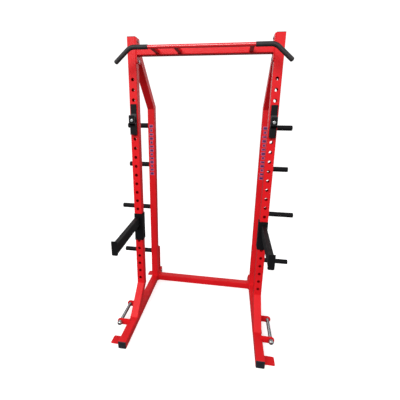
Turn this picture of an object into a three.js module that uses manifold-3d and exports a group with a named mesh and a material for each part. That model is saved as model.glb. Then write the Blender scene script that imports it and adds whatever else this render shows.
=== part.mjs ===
// Half rack (power cage): a free-standing barbell rack of welded square tube.
// Millimetres, +Z up. While it is being built, Y = 0 is the front face of the front uprights
// and the lifter stands in front of it, at negative Y. The finished group is shifted so that
// its origin is the middle of the footprint, on the floor.
import * as THREE from 'three';
import { mergeVertices } from 'three/addons/utils/BufferGeometryUtils.js';
import Module from 'manifold-3d';

const wasm = await Module();
wasm.setup();

// ---------------------------------------------------------------- driving dimensions
const GAP = 0.3;                 // clearance between pieces that touch
const RACK_WIDTH = 1215;         // across the outsides of the uprights
const RACK_HEIGHT = 2518;        // floor to the top of the upright caps
const TUBE = 70;                 // square tube of the frame
const WALL = 3;
const DEPTH = 493;               // front upright's front face to rear upright's front face
const RAIL_FRONT = -520;         // ends of the floor rails along Y
const RAIL_REAR = 705;
const PLUG_PROUD = 4;            // how far an end plug stands out of its tube
const CAP_PROUD = 3;             // the same for the caps on top of the uprights

const HOLE_DIAMETER = 27;        // adjustment holes
const HOLE_PITCH = 80;
const HOLE_COUNT = 24;
const FIRST_HOLE_Z = 2199.4;     // highest hole, and the rest go down from it
const FOOT_BEND_Z = 298.4;       // front face of the upright bends forward here, at 45 degrees

const TOP_LINE = 2572;           // y + z on the upper face of the 45 degree rear diagonal

const CROSS_BOTTOM = 2380;       // top crossmember, flush with the front of the uprights
const REAR_CROSS_Y = 510;        // front face of the rear crossmember
const PLATE = 8;                 // thickness of flanges, brackets and tabs
const TOP_FLANGE = { y: [0, 85], z: [2324, 2512], cut: 12, boltY: 42, boltZ: [2341, 2485] };
const REAR_FLANGE = { y: [500, 665], z: [0, 88], cut: 14, boltY: 645, boltZ: [22, 54] };
const VENT = 30;                 // hole in a flange, into the end of its crossmember
const BOLT = { acrossFlats: 17, headHeight: 9, shank: 10, hole: 12 };

const BAR_Y = -165;              // pull-up bar
const BAR_Z = 2400.5;
const BAR_DIAMETER = 27;
const BAR_BEND_X = 521;
const BAR_TIP = { x: 645, drop: 108 };
const BAR_BEND_RADIUS = 80;
const GRIP_START_X = 387;
const GRIP_THICKNESS = 2.7;
const STANDOFF_X = { outer_left: -358, inner_left: -180, right: 366 };
const STANDOFF = { width: 30, height: 25 };

const PEG_DIAMETER = 50;         // weight storage pegs on the rear uprights
const PEG_HEIGHTS = [1817, 1410, 928, 381];
const PEG_LENGTHS = [220, 220, 322, 322];

const JCUP = {
  width: 50, bottom: 1758, top: 2008, floorZ: 1838, floorThickness: 12,
  reach: 62, lipTop: 1916, boxDepth: 30, boltZ: 1876,
};
const LINER = { thickness: 5, top: 1930 };
const PEG_PIN_DIAMETER = 25;     // pins of the J-cups and the spotter arms
const PIN_BEHIND = 15;           // a long pin shows this far behind the upright
const SHORT_PIN = 14;            // a locating pin only enters the front wall
const JCUP_LONG_HOLE = 6;        // holes counted from the top
const JCUP_SHORT_HOLE = 4;

const ARM = { bracket: [770, 1035], rootZ: [926, 1010], beamX: [553.5, 593.5], wall: 3, front: -532 };
const ARM_DROP = 30;             // how far the arm falls from its root to its front end
const ARM_GUSSET = 60;
const ARM_LONG_HOLE = 16;
const ARM_SHORT_HOLE = 18;
const ARM_END = { width: 48, z: [888, 1005], chamfer: 6 };

const BAND_LUG = { x: 679, z: 65, radius: 30, thickness: 12, overlap: 16, centres: [-30, -285] };
const BAND_ROD_DIAMETER = 30;
const BAND_NUT = { acrossFlats: 42, length: 35, rearLength: 12 };
const TAB = { reach: 86, length: 83, front: -483, rear: 595 };
const HOLDER = { diameter: 57, wall: 2, y: 675, x: 579, top: 358 };

const OUTER_X = RACK_WIDTH / 2;
const INNER_X = OUTER_X - TUBE;
const CENTRE_X = OUTER_X - TUBE / 2;
const HUGE = 4000;               // beyond the whole rack, for cutting
const holeZ = (number) => FIRST_HOLE_Z - HOLE_PITCH * (number - 1);

// ---------------------------------------------------------------- solids
function toSolid(geometry) {
  const bare = geometry.clone();
  bare.deleteAttribute('normal');
  bare.deleteAttribute('uv');
  const merged = mergeVertices(bare, 1e-4);
  return new wasm.Manifold(new wasm.Mesh({
    numProp: 3,
    vertProperties: new Float32Array(merged.attributes.position.array),
    triVerts: new Uint32Array(merged.index.array),
  }));
}

function toGeometry(solid) {
  const mesh = solid.getMesh();
  const geometry = new THREE.BufferGeometry();
  geometry.setAttribute('position', new THREE.BufferAttribute(new Float32Array(mesh.vertProperties), 3));
  geometry.setIndex(new THREE.BufferAttribute(new Uint32Array(mesh.triVerts), 1));
  const flat = geometry.toNonIndexed();
  flat.computeVertexNormals();
  return flat;
}

// The same piece for the other side of the rack. Mirroring turns every triangle inside out, so the
// order of its corners is swapped back.
function mirrored(solid) {
  const geometry = toGeometry(solid);
  geometry.scale(-1, 1, 1);
  const { position } = geometry.attributes;
  const corner = new THREE.Vector3();
  for (let i = 0; i < position.count; i += 3) {
    corner.fromBufferAttribute(position, i);
    position.setXYZ(i, position.getX(i + 1), position.getY(i + 1), position.getZ(i + 1));
    position.setXYZ(i + 1, ...corner);
  }
  return toSolid(geometry);
}

// A box from its low and high corner.
function box([x0, y0, z0], [x1, y1, z1]) {
  const geometry = new THREE.BoxGeometry(x1 - x0, y1 - y0, z1 - z0);
  geometry.translate((x0 + x1) / 2, (y0 + y1) / 2, (z0 + z1) / 2);
  return toSolid(geometry);
}

// An outline of [y, z] points, extruded along X between two planes.
function sidePlate(points, x0, x1) {
  const shape = new THREE.Shape(points.map(([y, z]) => new THREE.Vector2(y, z)));
  const geometry = new THREE.ExtrudeGeometry(shape, { depth: x1 - x0, bevelEnabled: false });
  const axes = new THREE.Matrix4().makeBasis(
    new THREE.Vector3(0, 1, 0), new THREE.Vector3(0, 0, 1), new THREE.Vector3(1, 0, 0));
  geometry.applyMatrix4(axes);
  geometry.translate(x0, 0, 0);
  return toSolid(geometry);
}

// An outline in the X-Z plane (a THREE.Shape), extruded along Y between two planes.
function frontPlate(shape, y0, y1) {
  const settings = { depth: y1 - y0, bevelEnabled: false, curveSegments: 8 };
  const geometry = new THREE.ExtrudeGeometry(shape, settings);
  geometry.rotateX(Math.PI / 2);
  geometry.translate(0, y1, 0);
  return toSolid(geometry);
}

// A round bar along 'x', 'y' or 'z', from one end to the other.
function round(axis, diameter, from, to, [a, b], segments = 12) {
  const geometry = new THREE.CylinderGeometry(diameter / 2, diameter / 2, to - from, segments);
  const middle = (from + to) / 2;
  if (axis === 'x') {
    geometry.rotateZ(Math.PI / 2);
    geometry.translate(middle, a, b);
  } else if (axis === 'y') {
    geometry.translate(a, middle, b);
  } else {
    geometry.rotateX(Math.PI / 2);
    geometry.translate(a, b, middle);
  }
  return toSolid(geometry);
}

// A square tube that bends in the Y-Z plane: faces at a distance from a line, mitred at its bends.
function offsetLine(points, distance) {
  const directions = points.slice(1).map(([y, z], i) => {
    const [y0, z0] = points[i];
    const length = Math.hypot(y - y0, z - z0);
    return [(y - y0) / length, (z - z0) / length];
  });
  return points.map(([y, z], i) => {
    const before = directions[Math.max(i - 1, 0)];
    const after = directions[Math.min(i, directions.length - 1)];
    const normal = [-(before[1] + after[1]), before[0] + after[0]];
    const size = Math.hypot(...normal);
    const mitre = distance / (Math.hypot(before[0] + after[0], before[1] + after[1]) / 2);
    return [y + (normal[0] / size) * mitre, z + (normal[1] / size) * mitre];
  });
}

function band(points, distance) {
  return [...offsetLine(points, -distance), ...offsetLine(points, distance).reverse()];
}

function bentTube(centreLine) {
  const outside = sidePlate(band(centreLine, TUBE / 2), INNER_X, OUTER_X);
  const inside = sidePlate(band(centreLine, TUBE / 2 - WALL), INNER_X + WALL, OUTER_X - WALL);
  return { outside, inside };
}

// ---------------------------------------------------------------- frame
// The holes of a flange's bolts, through the flange and the wall that it lies on.
function boltHoles({ boltY, boltZ }) {
  const holes = boltZ.map((z) => round('x', BOLT.hole, INNER_X - 20, INNER_X + 10, [boltY, z], 8));
  return holes.reduce((all, hole) => all.add(hole));
}

const SLANT = Math.SQRT2 * TUBE / 2;         // half a tube's height on a 45 degree slope

function frontUpright() {
  const middleY = TUBE / 2;
  const bendZ = FOOT_BEND_Z - (TUBE / 2) * Math.tan(Math.PI / 8);
  const below = bendZ + 300;
  const { outside, inside } = bentTube([
    [middleY, RACK_HEIGHT + 300], [middleY, bendZ], [middleY - below, bendZ - below],
  ]);
  const keep = box([0, -HUGE, TUBE + GAP], [HUGE, HUGE, RACK_HEIGHT - CAP_PROUD]);
  let tube = outside.subtract(inside).intersect(keep);
  for (let number = 1; number <= HOLE_COUNT; number += 1) {
    tube = tube.subtract(round('y', HOLE_DIAMETER, -10, TUBE + 10, [CENTRE_X, holeZ(number)]));
  }
  return tube.subtract(boltHoles(TOP_FLANGE));
}

function rearUpright() {
  const middleY = DEPTH + TUBE / 2;
  const bendZ = TOP_LINE - SLANT - middleY;
  const above = middleY + 200;
  const { outside, inside } = bentTube([
    [middleY, -100], [middleY, bendZ], [middleY - above, bendZ + above],
  ]);
  return outside.subtract(inside).intersect(box([0, TUBE + GAP, TUBE + GAP], [HUGE, HUGE, HUGE]));
}

function floorTab(front) {
  return box([OUTER_X - 1, front, 0], [OUTER_X + TAB.reach, front + TAB.length, PLATE]);
}

// A lug stands beside the rail and laps over the top of it.
function bandLug(centreY) {
  const shape = new THREE.Shape();
  shape.moveTo(OUTER_X - BAND_LUG.overlap, TUBE - 1);
  shape.lineTo(OUTER_X - 1, TUBE - 1);
  shape.lineTo(OUTER_X - 1, BAND_LUG.z - BAND_LUG.radius);
  shape.lineTo(BAND_LUG.x, BAND_LUG.z - BAND_LUG.radius);
  shape.absarc(BAND_LUG.x, BAND_LUG.z, BAND_LUG.radius, -Math.PI / 2, Math.PI / 2, false);
  shape.lineTo(OUTER_X - BAND_LUG.overlap, BAND_LUG.z + BAND_LUG.radius);
  const half = BAND_LUG.thickness / 2;
  const plate = frontPlate(shape, centreY - half, centreY + half);
  const bore = round('y', BAND_ROD_DIAMETER + 1, -HUGE, HUGE, [BAND_LUG.x, BAND_LUG.z], 16);
  return plate.subtract(bore);
}

function baseRail() {
  let rail = box([INNER_X, RAIL_FRONT, 0], [OUTER_X, RAIL_REAR, TUBE]);
  rail = rail.add(floorTab(TAB.front)).add(floorTab(TAB.rear));
  for (const centreY of BAND_LUG.centres) {
    rail = rail.add(bandLug(centreY));
  }
  const inside = box([INNER_X + WALL, RAIL_FRONT - 1, WALL], [OUTER_X - WALL, RAIL_REAR + 1, TUBE - WALL]);
  return rail.subtract(inside).subtract(boltHoles(REAR_FLANGE));
}

// A plate on the inner side of an upright or rail, with its upper rear corner cut off.
function flange(size) {
  const x1 = INNER_X - GAP;
  const [y0, y1] = size.y;
  const [z0, z1] = size.z;
  const plate = sidePlate([
    [y0, z0], [y1, z0], [y1, z1 - size.cut], [y1 - size.cut, z1], [y0, z1],
  ], x1 - PLATE, x1);
  return plate.subtract(boltHoles(size));
}

// A square tube across the rack, with a flange at each end. Its ends stay open to the air through
// a round hole in each flange.
function crossTube(y, z, plate) {
  const end = INNER_X - GAP;
  const outside = box([-end + 1, y, z], [end - 1, y + TUBE, z + TUBE]);
  const inside = box([-HUGE, y + WALL, z + WALL], [HUGE, y + TUBE - WALL, z + TUBE - WALL]);
  const tube = outside.subtract(inside).add(plate).add(mirrored(plate));
  return tube.subtract(round('x', VENT, -HUGE, HUGE, [y + TUBE / 2, z + TUBE / 2], 8));
}

const topCrossmember = () => crossTube(0, CROSS_BOTTOM, flange(TOP_FLANGE));
const rearCrossmember = () => crossTube(REAR_CROSS_Y, 0, flange(REAR_FLANGE));

// A hexagon bolt pointing at +X, from its head under the flange to its tip inside the tube.
function flangeBolt(at) {
  const face = INNER_X - GAP - PLATE - GAP;
  const corners = BOLT.acrossFlats / Math.cos(Math.PI / 6);
  const head = round('x', corners, face - BOLT.headHeight, face - 3, at, 6);
  const washer = round('x', corners + 3, face - 3, face, at, 12);
  const shank = round('x', BOLT.shank, face - 1, INNER_X + 16, at, 8);
  return head.add(washer).add(shank);
}

// ---------------------------------------------------------------- plugs and caps
const PLUG = TUBE - 2 * WALL - 2 * GAP;

// A tapered head as wide as the tube, over a skirt that is open behind, so the plug is a cup. It
// closes a tube that ends at a position and faces along +Z until it is tilted about X.
function plug(proud, depth, tilt, position) {
  const half = PLUG / 2;
  const head = new THREE.CylinderGeometry(TUBE / 2 - 2, TUBE / 2, proud - GAP, 4);
  head.rotateY(Math.PI / 4);
  head.scale(Math.SQRT2, 1, Math.SQRT2);
  head.rotateX(Math.PI / 2);
  head.translate(0, 0, (proud + GAP) / 2);
  const skirt = box([-half, -half, -depth], [half, half, GAP + 1]);
  const hollow = box([-half + 3, -half + 3, -depth - 1], [half - 3, half - 3, -2]);
  const upright = toGeometry(toSolid(head).add(skirt).subtract(hollow));
  upright.rotateX(tilt);
  upright.translate(...position);
  return toSolid(upright);
}

const railPlugFront = () => plug(PLUG_PROUD, 16, Math.PI / 2, [CENTRE_X, RAIL_FRONT, TUBE / 2]);
const railPlugRear = () => plug(PLUG_PROUD, 16, -Math.PI / 2, [CENTRE_X, RAIL_REAR, TUBE / 2]);
const uprightCap = () => plug(CAP_PROUD, 8, 0, [CENTRE_X, TUBE / 2, RACK_HEIGHT - CAP_PROUD]);

// ---------------------------------------------------------------- pull-up bar
// A path through listed points, with a step at each of them, so that two tubes swept along the
// same points fit one inside the other.
class ListedPath extends THREE.Curve {
  constructor(points) {
    super();
    this.points = points;
  }

  getPointAt(u) {
    return this.points[Math.round(u * (this.points.length - 1))].clone();
  }

  getTangentAt(u) {
    const i = Math.round(u * (this.points.length - 1));
    const tangent = new THREE.Vector3();
    if (i > 0) {
      tangent.add(this.points[i].clone().sub(this.points[i - 1]).normalize());
    }
    if (i < this.points.length - 1) {
      tangent.add(this.points[i + 1].clone().sub(this.points[i]).normalize());
    }
    return tangent.normalize();
  }
}

const ROUND_SIDES = 12;

function circle(diameter) {
  const points = Array.from({ length: ROUND_SIDES }, (_, k) => {
    const angle = (2 * Math.PI * k) / ROUND_SIDES;
    return new THREE.Vector2(Math.cos(angle), Math.sin(angle)).multiplyScalar(diameter / 2);
  });
  return new THREE.Shape(points);
}

function sweep(points, shape) {
  const extrudePath = new ListedPath(points);
  return toSolid(new THREE.ExtrudeGeometry(shape, { steps: points.length - 1, extrudePath }));
}

// The right end of the bar's centre line: straight from startX, round the bend and down to the tip.
function barEnd(startX, tipInset) {
  const slope = Math.atan2(BAR_TIP.drop, BAR_TIP.x - BAR_BEND_X);
  const trim = BAR_BEND_RADIUS * Math.tan(slope / 2);
  const length = Math.hypot(BAR_TIP.drop, BAR_TIP.x - BAR_BEND_X) - tipInset;
  const points = [new THREE.Vector3(startX, BAR_Y, BAR_Z)];
  const steps = 4;
  for (let i = 0; i <= steps; i += 1) {
    const angle = (slope * i) / steps;
    const x = BAR_BEND_X - trim + BAR_BEND_RADIUS * Math.sin(angle);
    const z = BAR_Z - BAR_BEND_RADIUS * (1 - Math.cos(angle));
    points.push(new THREE.Vector3(x, BAR_Y, z));
  }
  const tipX = BAR_BEND_X + length * Math.cos(slope);
  points.push(new THREE.Vector3(tipX, BAR_Y, BAR_Z - length * Math.sin(slope)));
  return points;
}

const GRIP_END = 8;              // thickness of the closed end of a grip

function pullUpBar() {
  const right = barEnd(0, GRIP_END + GAP).slice(1);
  const left = right.map((p) => new THREE.Vector3(-p.x, p.y, p.z)).reverse();
  return sweep([...left, ...right], circle(BAR_DIAMETER));
}

function grip() {
  const outer = BAR_DIAMETER + 2 * GAP + 2 * GRIP_THICKNESS;
  const ring = circle(outer);
  ring.holes.push(new THREE.Path(circle(BAR_DIAMETER + 2 * GAP).getPoints().reverse()));
  const sleeve = barEnd(GRIP_START_X, 0);
  const closed = [barEnd(GRIP_START_X, GRIP_END).pop(), sleeve[sleeve.length - 1]];
  return sweep(sleeve, ring).add(sweep(closed, circle(outer - 1)));
}

// A bracket from the crossmember to the bar, with its front end hollowed to fit round the bar.
function standoff(x) {
  const low = [x - STANDOFF.width / 2, BAR_Y - 4, BAR_Z - STANDOFF.height / 2];
  const high = [x + STANDOFF.width / 2, -GAP, BAR_Z + STANDOFF.height / 2];
  const bar = round('x', BAR_DIAMETER + 3 * GAP, -HUGE, HUGE, [BAR_Y, BAR_Z], 24);
  const front = box([-HUGE, -HUGE, 0], [HUGE, BAR_Y + 2, HUGE]);
  return box(low, high).subtract(bar).subtract(front);
}

// ---------------------------------------------------------------- weight pegs and bar holders
// A peg is a tube with a closed outer end; the end against the upright stays open.
function weightPeg(z, length) {
  const outer = PEG_DIAMETER / 2;
  const inner = outer - WALL;
  const rim = 3;
  const profile = [
    [inner, 0], [outer, 0], [outer, length - rim], [outer - rim, length], [0, length],
    [0, length - 4], [inner, length - 4], [inner, 0],
  ].map(([radius, along]) => new THREE.Vector2(radius, along));
  const geometry = new THREE.LatheGeometry(profile, 14);
  geometry.rotateZ(-Math.PI / 2);
  geometry.translate(OUTER_X + GAP, DEPTH + TUBE / 2, z);
  return toSolid(geometry);
}

function barHolder() {
  const ends = [TUBE + GAP, HOLDER.top];
  const tube = round('z', HOLDER.diameter, ...ends, [HOLDER.x, HOLDER.y], 20);
  const bore = round('z', HOLDER.diameter - 2 * HOLDER.wall, TUBE, HUGE, [HOLDER.x, HOLDER.y], 20);
  return tube.subtract(bore);
}

// ---------------------------------------------------------------- J-cups
const FACE = -GAP;               // rear face of whatever hooks on the front of an upright

function pin(number, toY) {
  return round('y', PEG_PIN_DIAMETER, FACE - 1, toY, [CENTRE_X, holeZ(number)], 14);
}

function jcupBody() {
  const half = JCUP.width / 2;
  const plateFront = FACE - PLATE;
  const [left, right] = [CENTRE_X - half, CENTRE_X + half];
  const boxFront = plateFront - JCUP.boxDepth;
  const back = box([left, plateFront, JCUP.bottom], [right, FACE, JCUP.top]);
  const floor = box([left, -JCUP.reach, JCUP.floorZ], [right, FACE - 1, JCUP.floorZ + JCUP.floorThickness]);
  const lip = box([left, -JCUP.reach, JCUP.floorZ], [right, -JCUP.reach + PLATE, JCUP.lipTop]);
  const support = box([left, boxFront, JCUP.bottom], [right, FACE - 1, JCUP.floorZ + 1])
    .subtract(box([left + 4, boxFront + 4, JCUP.bottom - 1], [right - 4, plateFront, JCUP.floorZ]));
  const boltHole = round('y', 11, -HUGE, plateFront, [CENTRE_X, JCUP.boltZ], 10);
  return back.add(floor).add(lip).add(support).subtract(boltHole)
    .add(pin(JCUP_LONG_HOLE, TUBE + PIN_BEHIND))
    .add(pin(JCUP_SHORT_HOLE, SHORT_PIN));
}

// The plastic liner lies inside the hook, against its back, its floor and its lip.
function jcupLiner() {
  const half = JCUP.width / 2;
  const floor = JCUP.floorZ + JCUP.floorThickness + GAP;
  const rear = FACE - PLATE - GAP;
  const front = -JCUP.reach + PLATE + GAP;
  const t = LINER.thickness;
  const profile = [
    [front, floor], [rear, floor], [rear, LINER.top], [rear - t, LINER.top], [rear - t, floor + t],
    [front + t, floor + t], [front + t, JCUP.lipTop + 3], [front, JCUP.lipTop + 3],
  ];
  const liner = sidePlate(profile, CENTRE_X - half, CENTRE_X + half);
  return liner.subtract(round('y', 11, front - 1, front + t - 2, [CENTRE_X, JCUP.boltZ], 10));
}

function linerBolt() {
  const face = -JCUP.reach - GAP;
  const tip = -JCUP.reach + PLATE + LINER.thickness - 2.5;
  const head = round('y', 26, face - 6, face, [CENTRE_X, JCUP.boltZ], 14);
  return head.add(round('y', 10, face - 1, tip, [CENTRE_X, JCUP.boltZ], 10));
}

// ---------------------------------------------------------------- spotter arms
const ARM_ROOT = FACE - PLATE - GAP;         // rear end of the arm

// A height on the arm, given at its root, at another place along Y.
const armZ = (y, rootZ) => rootZ - (ARM_DROP * (ARM_ROOT - y)) / (ARM_ROOT - ARM.front);

// An angle that wraps the front and the inner side of the upright, with a pin in each of two holes
// and a gusset under the place where the arm leaves it.
function armBracket() {
  const [low, high] = ARM.bracket;
  const inner = INNER_X - GAP;
  const front = box([inner - PLATE, FACE - PLATE, low], [OUTER_X, FACE, high]);
  const side = box([inner - PLATE, FACE - PLATE, low], [inner, TUBE - 4, high]);
  const top = ARM.rootZ[0] - GAP;
  const root = FACE - PLATE + 1;
  const tip = root - ARM_GUSSET;
  const middle = (ARM.beamX[0] + ARM.beamX[1]) / 2;
  const gusset = sidePlate([
    [root, armZ(root, top)], [tip, armZ(tip, top)], [tip, armZ(tip, top) - 6], [root, top - ARM_GUSSET],
  ], middle - PLATE / 2, middle + PLATE / 2);
  return front.add(side).add(gusset)
    .add(pin(ARM_LONG_HOLE, TUBE + PIN_BEHIND))
    .add(pin(ARM_SHORT_HOLE, SHORT_PIN));
}

// The arm seen from the side, thinner by a wall on each side and longer by a run at each end.
function armOutline(wall, run) {
  const [low, high] = [ARM.rootZ[0] + wall, ARM.rootZ[1] - wall];
  const [front, rear] = [ARM.front - run, ARM_ROOT + run];
  return [
    [front, armZ(front, low)], [rear, armZ(rear, low)], [rear, armZ(rear, high)], [front, armZ(front, high)],
  ];
}

function armBeam() {
  const [x0, x1] = ARM.beamX;
  const hollow = sidePlate(armOutline(ARM.wall, 10), x0 + ARM.wall, x1 - ARM.wall);
  return sidePlate(armOutline(0, 0), x0, x1).subtract(hollow);
}

function armEndPlate() {
  const middle = (ARM.beamX[0] + ARM.beamX[1]) / 2;
  const half = ARM_END.width / 2;
  const [z0, z1] = ARM_END.z;
  const cut = ARM_END.chamfer;
  const shape = new THREE.Shape([
    [middle - half + cut, z0], [middle + half - cut, z0], [middle + half, z0 + cut],
    [middle + half, z1], [middle - half, z1], [middle - half, z0 + cut],
  ].map(([x, z]) => new THREE.Vector2(x, z)));
  return frontPlate(shape, ARM.front - GAP - PLATE, ARM.front - GAP);
}

// ---------------------------------------------------------------- band rods
const [LUG_REAR, LUG_FRONT] = BAND_LUG.centres;

const nutCorners = BAND_NUT.acrossFlats / Math.cos(Math.PI / 6);
const nutAt = [BAND_LUG.x, BAND_LUG.z];

function bandRod() {
  const rear = LUG_REAR + BAND_LUG.thickness / 2 + BAND_NUT.rearLength + 4;
  const front = LUG_FRONT - BAND_LUG.thickness / 2 - BAND_NUT.length + 6;
  return round('y', BAND_ROD_DIAMETER, front, rear, nutAt, 14);
}

// The front nut is closed by a dome and the rear one is open.
function bandNutFront() {
  const rear = LUG_FRONT - BAND_LUG.thickness / 2 - GAP;
  const hex = round('y', nutCorners, rear - BAND_NUT.length * 0.6, rear, nutAt, 6);
  const dome = round('y', BAND_NUT.acrossFlats - 2, rear - BAND_NUT.length, rear - 1, nutAt, 12);
  const blind = rear - BAND_NUT.length + 5.5;
  const bore = round('y', BAND_ROD_DIAMETER + 2 * GAP, blind, rear + 1, nutAt, 14);
  return hex.add(dome).subtract(bore);
}

function bandNutRear() {
  const front = LUG_REAR + BAND_LUG.thickness / 2 + GAP;
  const hex = round('y', nutCorners, front, front + BAND_NUT.rearLength, nutAt, 6);
  return hex.subtract(round('y', BAND_ROD_DIAMETER + 2 * GAP, -HUGE, HUGE, nutAt, 14));
}

// ---------------------------------------------------------------- materials and assembly
const red = () => new THREE.MeshStandardMaterial({ color: 0xd8141c, roughness: 0.35, metalness: 0.1 });
const black = () => new THREE.MeshStandardMaterial({ color: 0x1b1c1d, roughness: 0.5, metalness: 0.1 });
const plastic = () => new THREE.MeshStandardMaterial({ color: 0x16171a, roughness: 0.6, metalness: 0 });
const rubber = () => new THREE.MeshStandardMaterial({ color: 0x23282d, roughness: 0.75, metalness: 0 });
const zinc = () => new THREE.MeshStandardMaterial({ color: 0xb9bcc0, roughness: 0.3, metalness: 0.9 });

const rack = new THREE.Group();

function place(name, solid, material) {
  const mesh = new THREE.Mesh(toGeometry(solid), material());
  mesh.name = name;
  rack.add(mesh);
}

// Makes the right piece as it is built and the left one as its mirror image.
function pair(name, solid, material) {
  place(`${name}_right`, solid, material);
  place(`${name}_left`, mirrored(solid), material);
}

pair('front_upright', frontUpright(), red);
pair('rear_upright', rearUpright(), red);
pair('base_rail', baseRail(), red);
place('top_crossmember', topCrossmember(), red);
place('rear_crossmember', rearCrossmember(), red);
pair('upright_cap', uprightCap(), plastic);
pair('rail_plug_front', railPlugFront(), plastic);
pair('rail_plug_rear', railPlugRear(), plastic);

Object.entries({ top: TOP_FLANGE, rear: REAR_FLANGE }).forEach(([name, { boltY, boltZ }]) => {
  boltZ.forEach((z, i) => pair(`${name}_flange_bolt_${i + 1}`, flangeBolt([boltY, z]), zinc));
});

place('pull_up_bar', pullUpBar(), red);
pair('pull_up_grip', grip(), rubber);
Object.entries(STANDOFF_X).forEach(([name, x]) => {
  place(`bar_standoff_${name}`, standoff(x), red);
});

PEG_HEIGHTS.forEach((z, i) => {
  pair(`weight_peg_${i + 1}`, weightPeg(z, PEG_LENGTHS[i]), black);
});
pair('bar_holder', barHolder(), red);

pair('jcup_body', jcupBody(), black);
pair('jcup_liner', jcupLiner(), plastic);
pair('jcup_bolt', linerBolt(), zinc);

pair('arm_bracket', armBracket(), black);
pair('arm_beam', armBeam(), black);
pair('arm_end_plate', armEndPlate(), black);

pair('band_rod', bandRod(), zinc);
pair('band_nut_front', bandNutFront(), zinc);
pair('band_nut_rear', bandNutRear(), zinc);

// The origin moves to the middle of the footprint.
const front = ARM.front - GAP - PLATE;
const rear = RAIL_REAR + PLUG_PROUD;
rack.position.y = -(front + rear) / 2;

export default rack;
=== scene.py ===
"""Looks of the half rack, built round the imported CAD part.

Shapes are worked out in millimetres in the CAD's building frame: Y = 0 is the front face of the
front uprights, and the lifter stands at negative Y. A piece that comes in pairs is made for the
right-hand side (+X) and mirrored for the left. piece() turns a shape into an object in metres.
"""

import math

import bmesh
import bpy
from mathutils import Matrix, Vector

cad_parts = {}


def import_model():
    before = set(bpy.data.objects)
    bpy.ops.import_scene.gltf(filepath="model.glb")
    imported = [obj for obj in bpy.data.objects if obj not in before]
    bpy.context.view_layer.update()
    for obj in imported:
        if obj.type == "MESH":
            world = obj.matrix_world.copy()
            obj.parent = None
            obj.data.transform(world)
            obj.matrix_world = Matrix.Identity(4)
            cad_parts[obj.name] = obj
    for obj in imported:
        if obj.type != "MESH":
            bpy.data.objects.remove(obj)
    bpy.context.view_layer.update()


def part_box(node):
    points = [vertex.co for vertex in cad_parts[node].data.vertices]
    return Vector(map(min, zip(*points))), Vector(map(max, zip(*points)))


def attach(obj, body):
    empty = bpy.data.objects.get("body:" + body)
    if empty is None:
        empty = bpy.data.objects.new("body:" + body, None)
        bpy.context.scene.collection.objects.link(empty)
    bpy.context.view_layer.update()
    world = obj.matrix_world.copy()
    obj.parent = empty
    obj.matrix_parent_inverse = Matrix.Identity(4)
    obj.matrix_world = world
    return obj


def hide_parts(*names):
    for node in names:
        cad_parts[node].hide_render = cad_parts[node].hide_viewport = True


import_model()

# ------------------------------------------------------------------ sizes (mm)
# A stretch is (low, high), such as RAIL along Y, CUP_PLATE along Z or BEAM_X along X.
MM = 0.001
GAP = 0.3                               # between pieces that are welded or bolted together
TUBE = 70
WALL = 3
CORNER = 6                              # outside radius of the tubes' rolled corners
PLATE = 8
DIAGONAL = TUBE / 2 * math.sqrt(2)      # half of a 45 degree cut through the tube
MITRE = math.tan(math.pi / 8)           # slope of the mitre in a 45 degree bend

RACK_HEIGHT = 2518
OUTER_X = 607.5
INNER_X = OUTER_X - TUBE
CENTRE_X = OUTER_X - TUBE / 2
DEPTH = 493                             # the front faces of the rear uprights
RAIL = (-520, 705)
ORIGIN_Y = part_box("base_rail_right")[1].y - RAIL[1] * MM      # where Y = 0 is in the frame
FOOT_BEND_Z = 298.4                     # the mitre of the foot, at the front face
TOP_LINE = 2572                         # y + z on the upper face of the 45 degree diagonal
HOLE_TOP, HOLE_PITCH, HOLE_COUNT, HOLE_RADIUS = 2199.4, 80, 24, 13.5
CAP_PROUD, CAP_DEPTH = 3, 8
PLUG_PROUD, PLUG_DEPTH = 4, 16

# Crossmembers are stretches in Y and Z, and flanges have the size of their cut corner as well.
CROSS = ((0, TUBE), (2380, 2380 + TUBE))
REAR_CROSS = ((510, 510 + TUBE), (0, TUBE))
TOP_FLANGE = ((0, 85), (2324, 2512), 12)
REAR_FLANGE = ((500, 665), (0, 88), 14)
TOP_BOLTS = [(42, 2341), (42, 2485)]
REAR_BOLTS = [(645, 22), (645, 54)]
BOLT_FLATS, BOLT_HEAD, BOLT_RADIUS, BOLT_HOLE, WASHER = 17, 9, 5, 6, 3

BAR_Y, BAR_Z, BAR_RADIUS = -165, 2400.5, 13.5
BAR_BEND_X, BAR_TIP_X, BAR_DROP, BAR_BEND_RADIUS = 521, 645, 108, 80
BAR_INSET = 8.3                         # how far the bar ends inside the tips of the grips
GRIP_START_X, GRIP_RADIUS, GRIP_DOME = 387, 16.5, 12
STANDOFFS = {"outer_left": -358, "inner_left": -180, "right": 366}
STANDOFF_HALF = (15, 12.5)              # half its width and half its height

PEGS = [(1817, 220), (1410, 220), (928, 322), (381, 322)]     # height and length
PEG_RADIUS, PEG_BORE = 25, 22
HOLDER_CENTRE, HOLDER_RADIUS, HOLDER_BORE, HOLDER_TOP = (579, 675), 28.5, 26.5, 358
TAB_STARTS, TAB_LENGTH, TAB_REACH, TAB_CORNER = (-483, 595), 83, 86, 10
LUG_X, LUG_Z, LUG_RADIUS, LUG_CENTRES, LUG_HALF = 679, 65, 30, (-30, -285), 6
LUG_LAP = 16                            # how far a lug laps over the top of the rail
ROD, ROD_RADIUS, THREAD_DEPTH, THREAD_PITCH = (-320, -8), 15, 2.1, 5.2
NUT_FLATS, OPEN_NUT_LENGTH, DOME_NUT_LENGTH, DOME_NUT_HEXAGON = 42, 12, 35, 21

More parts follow.
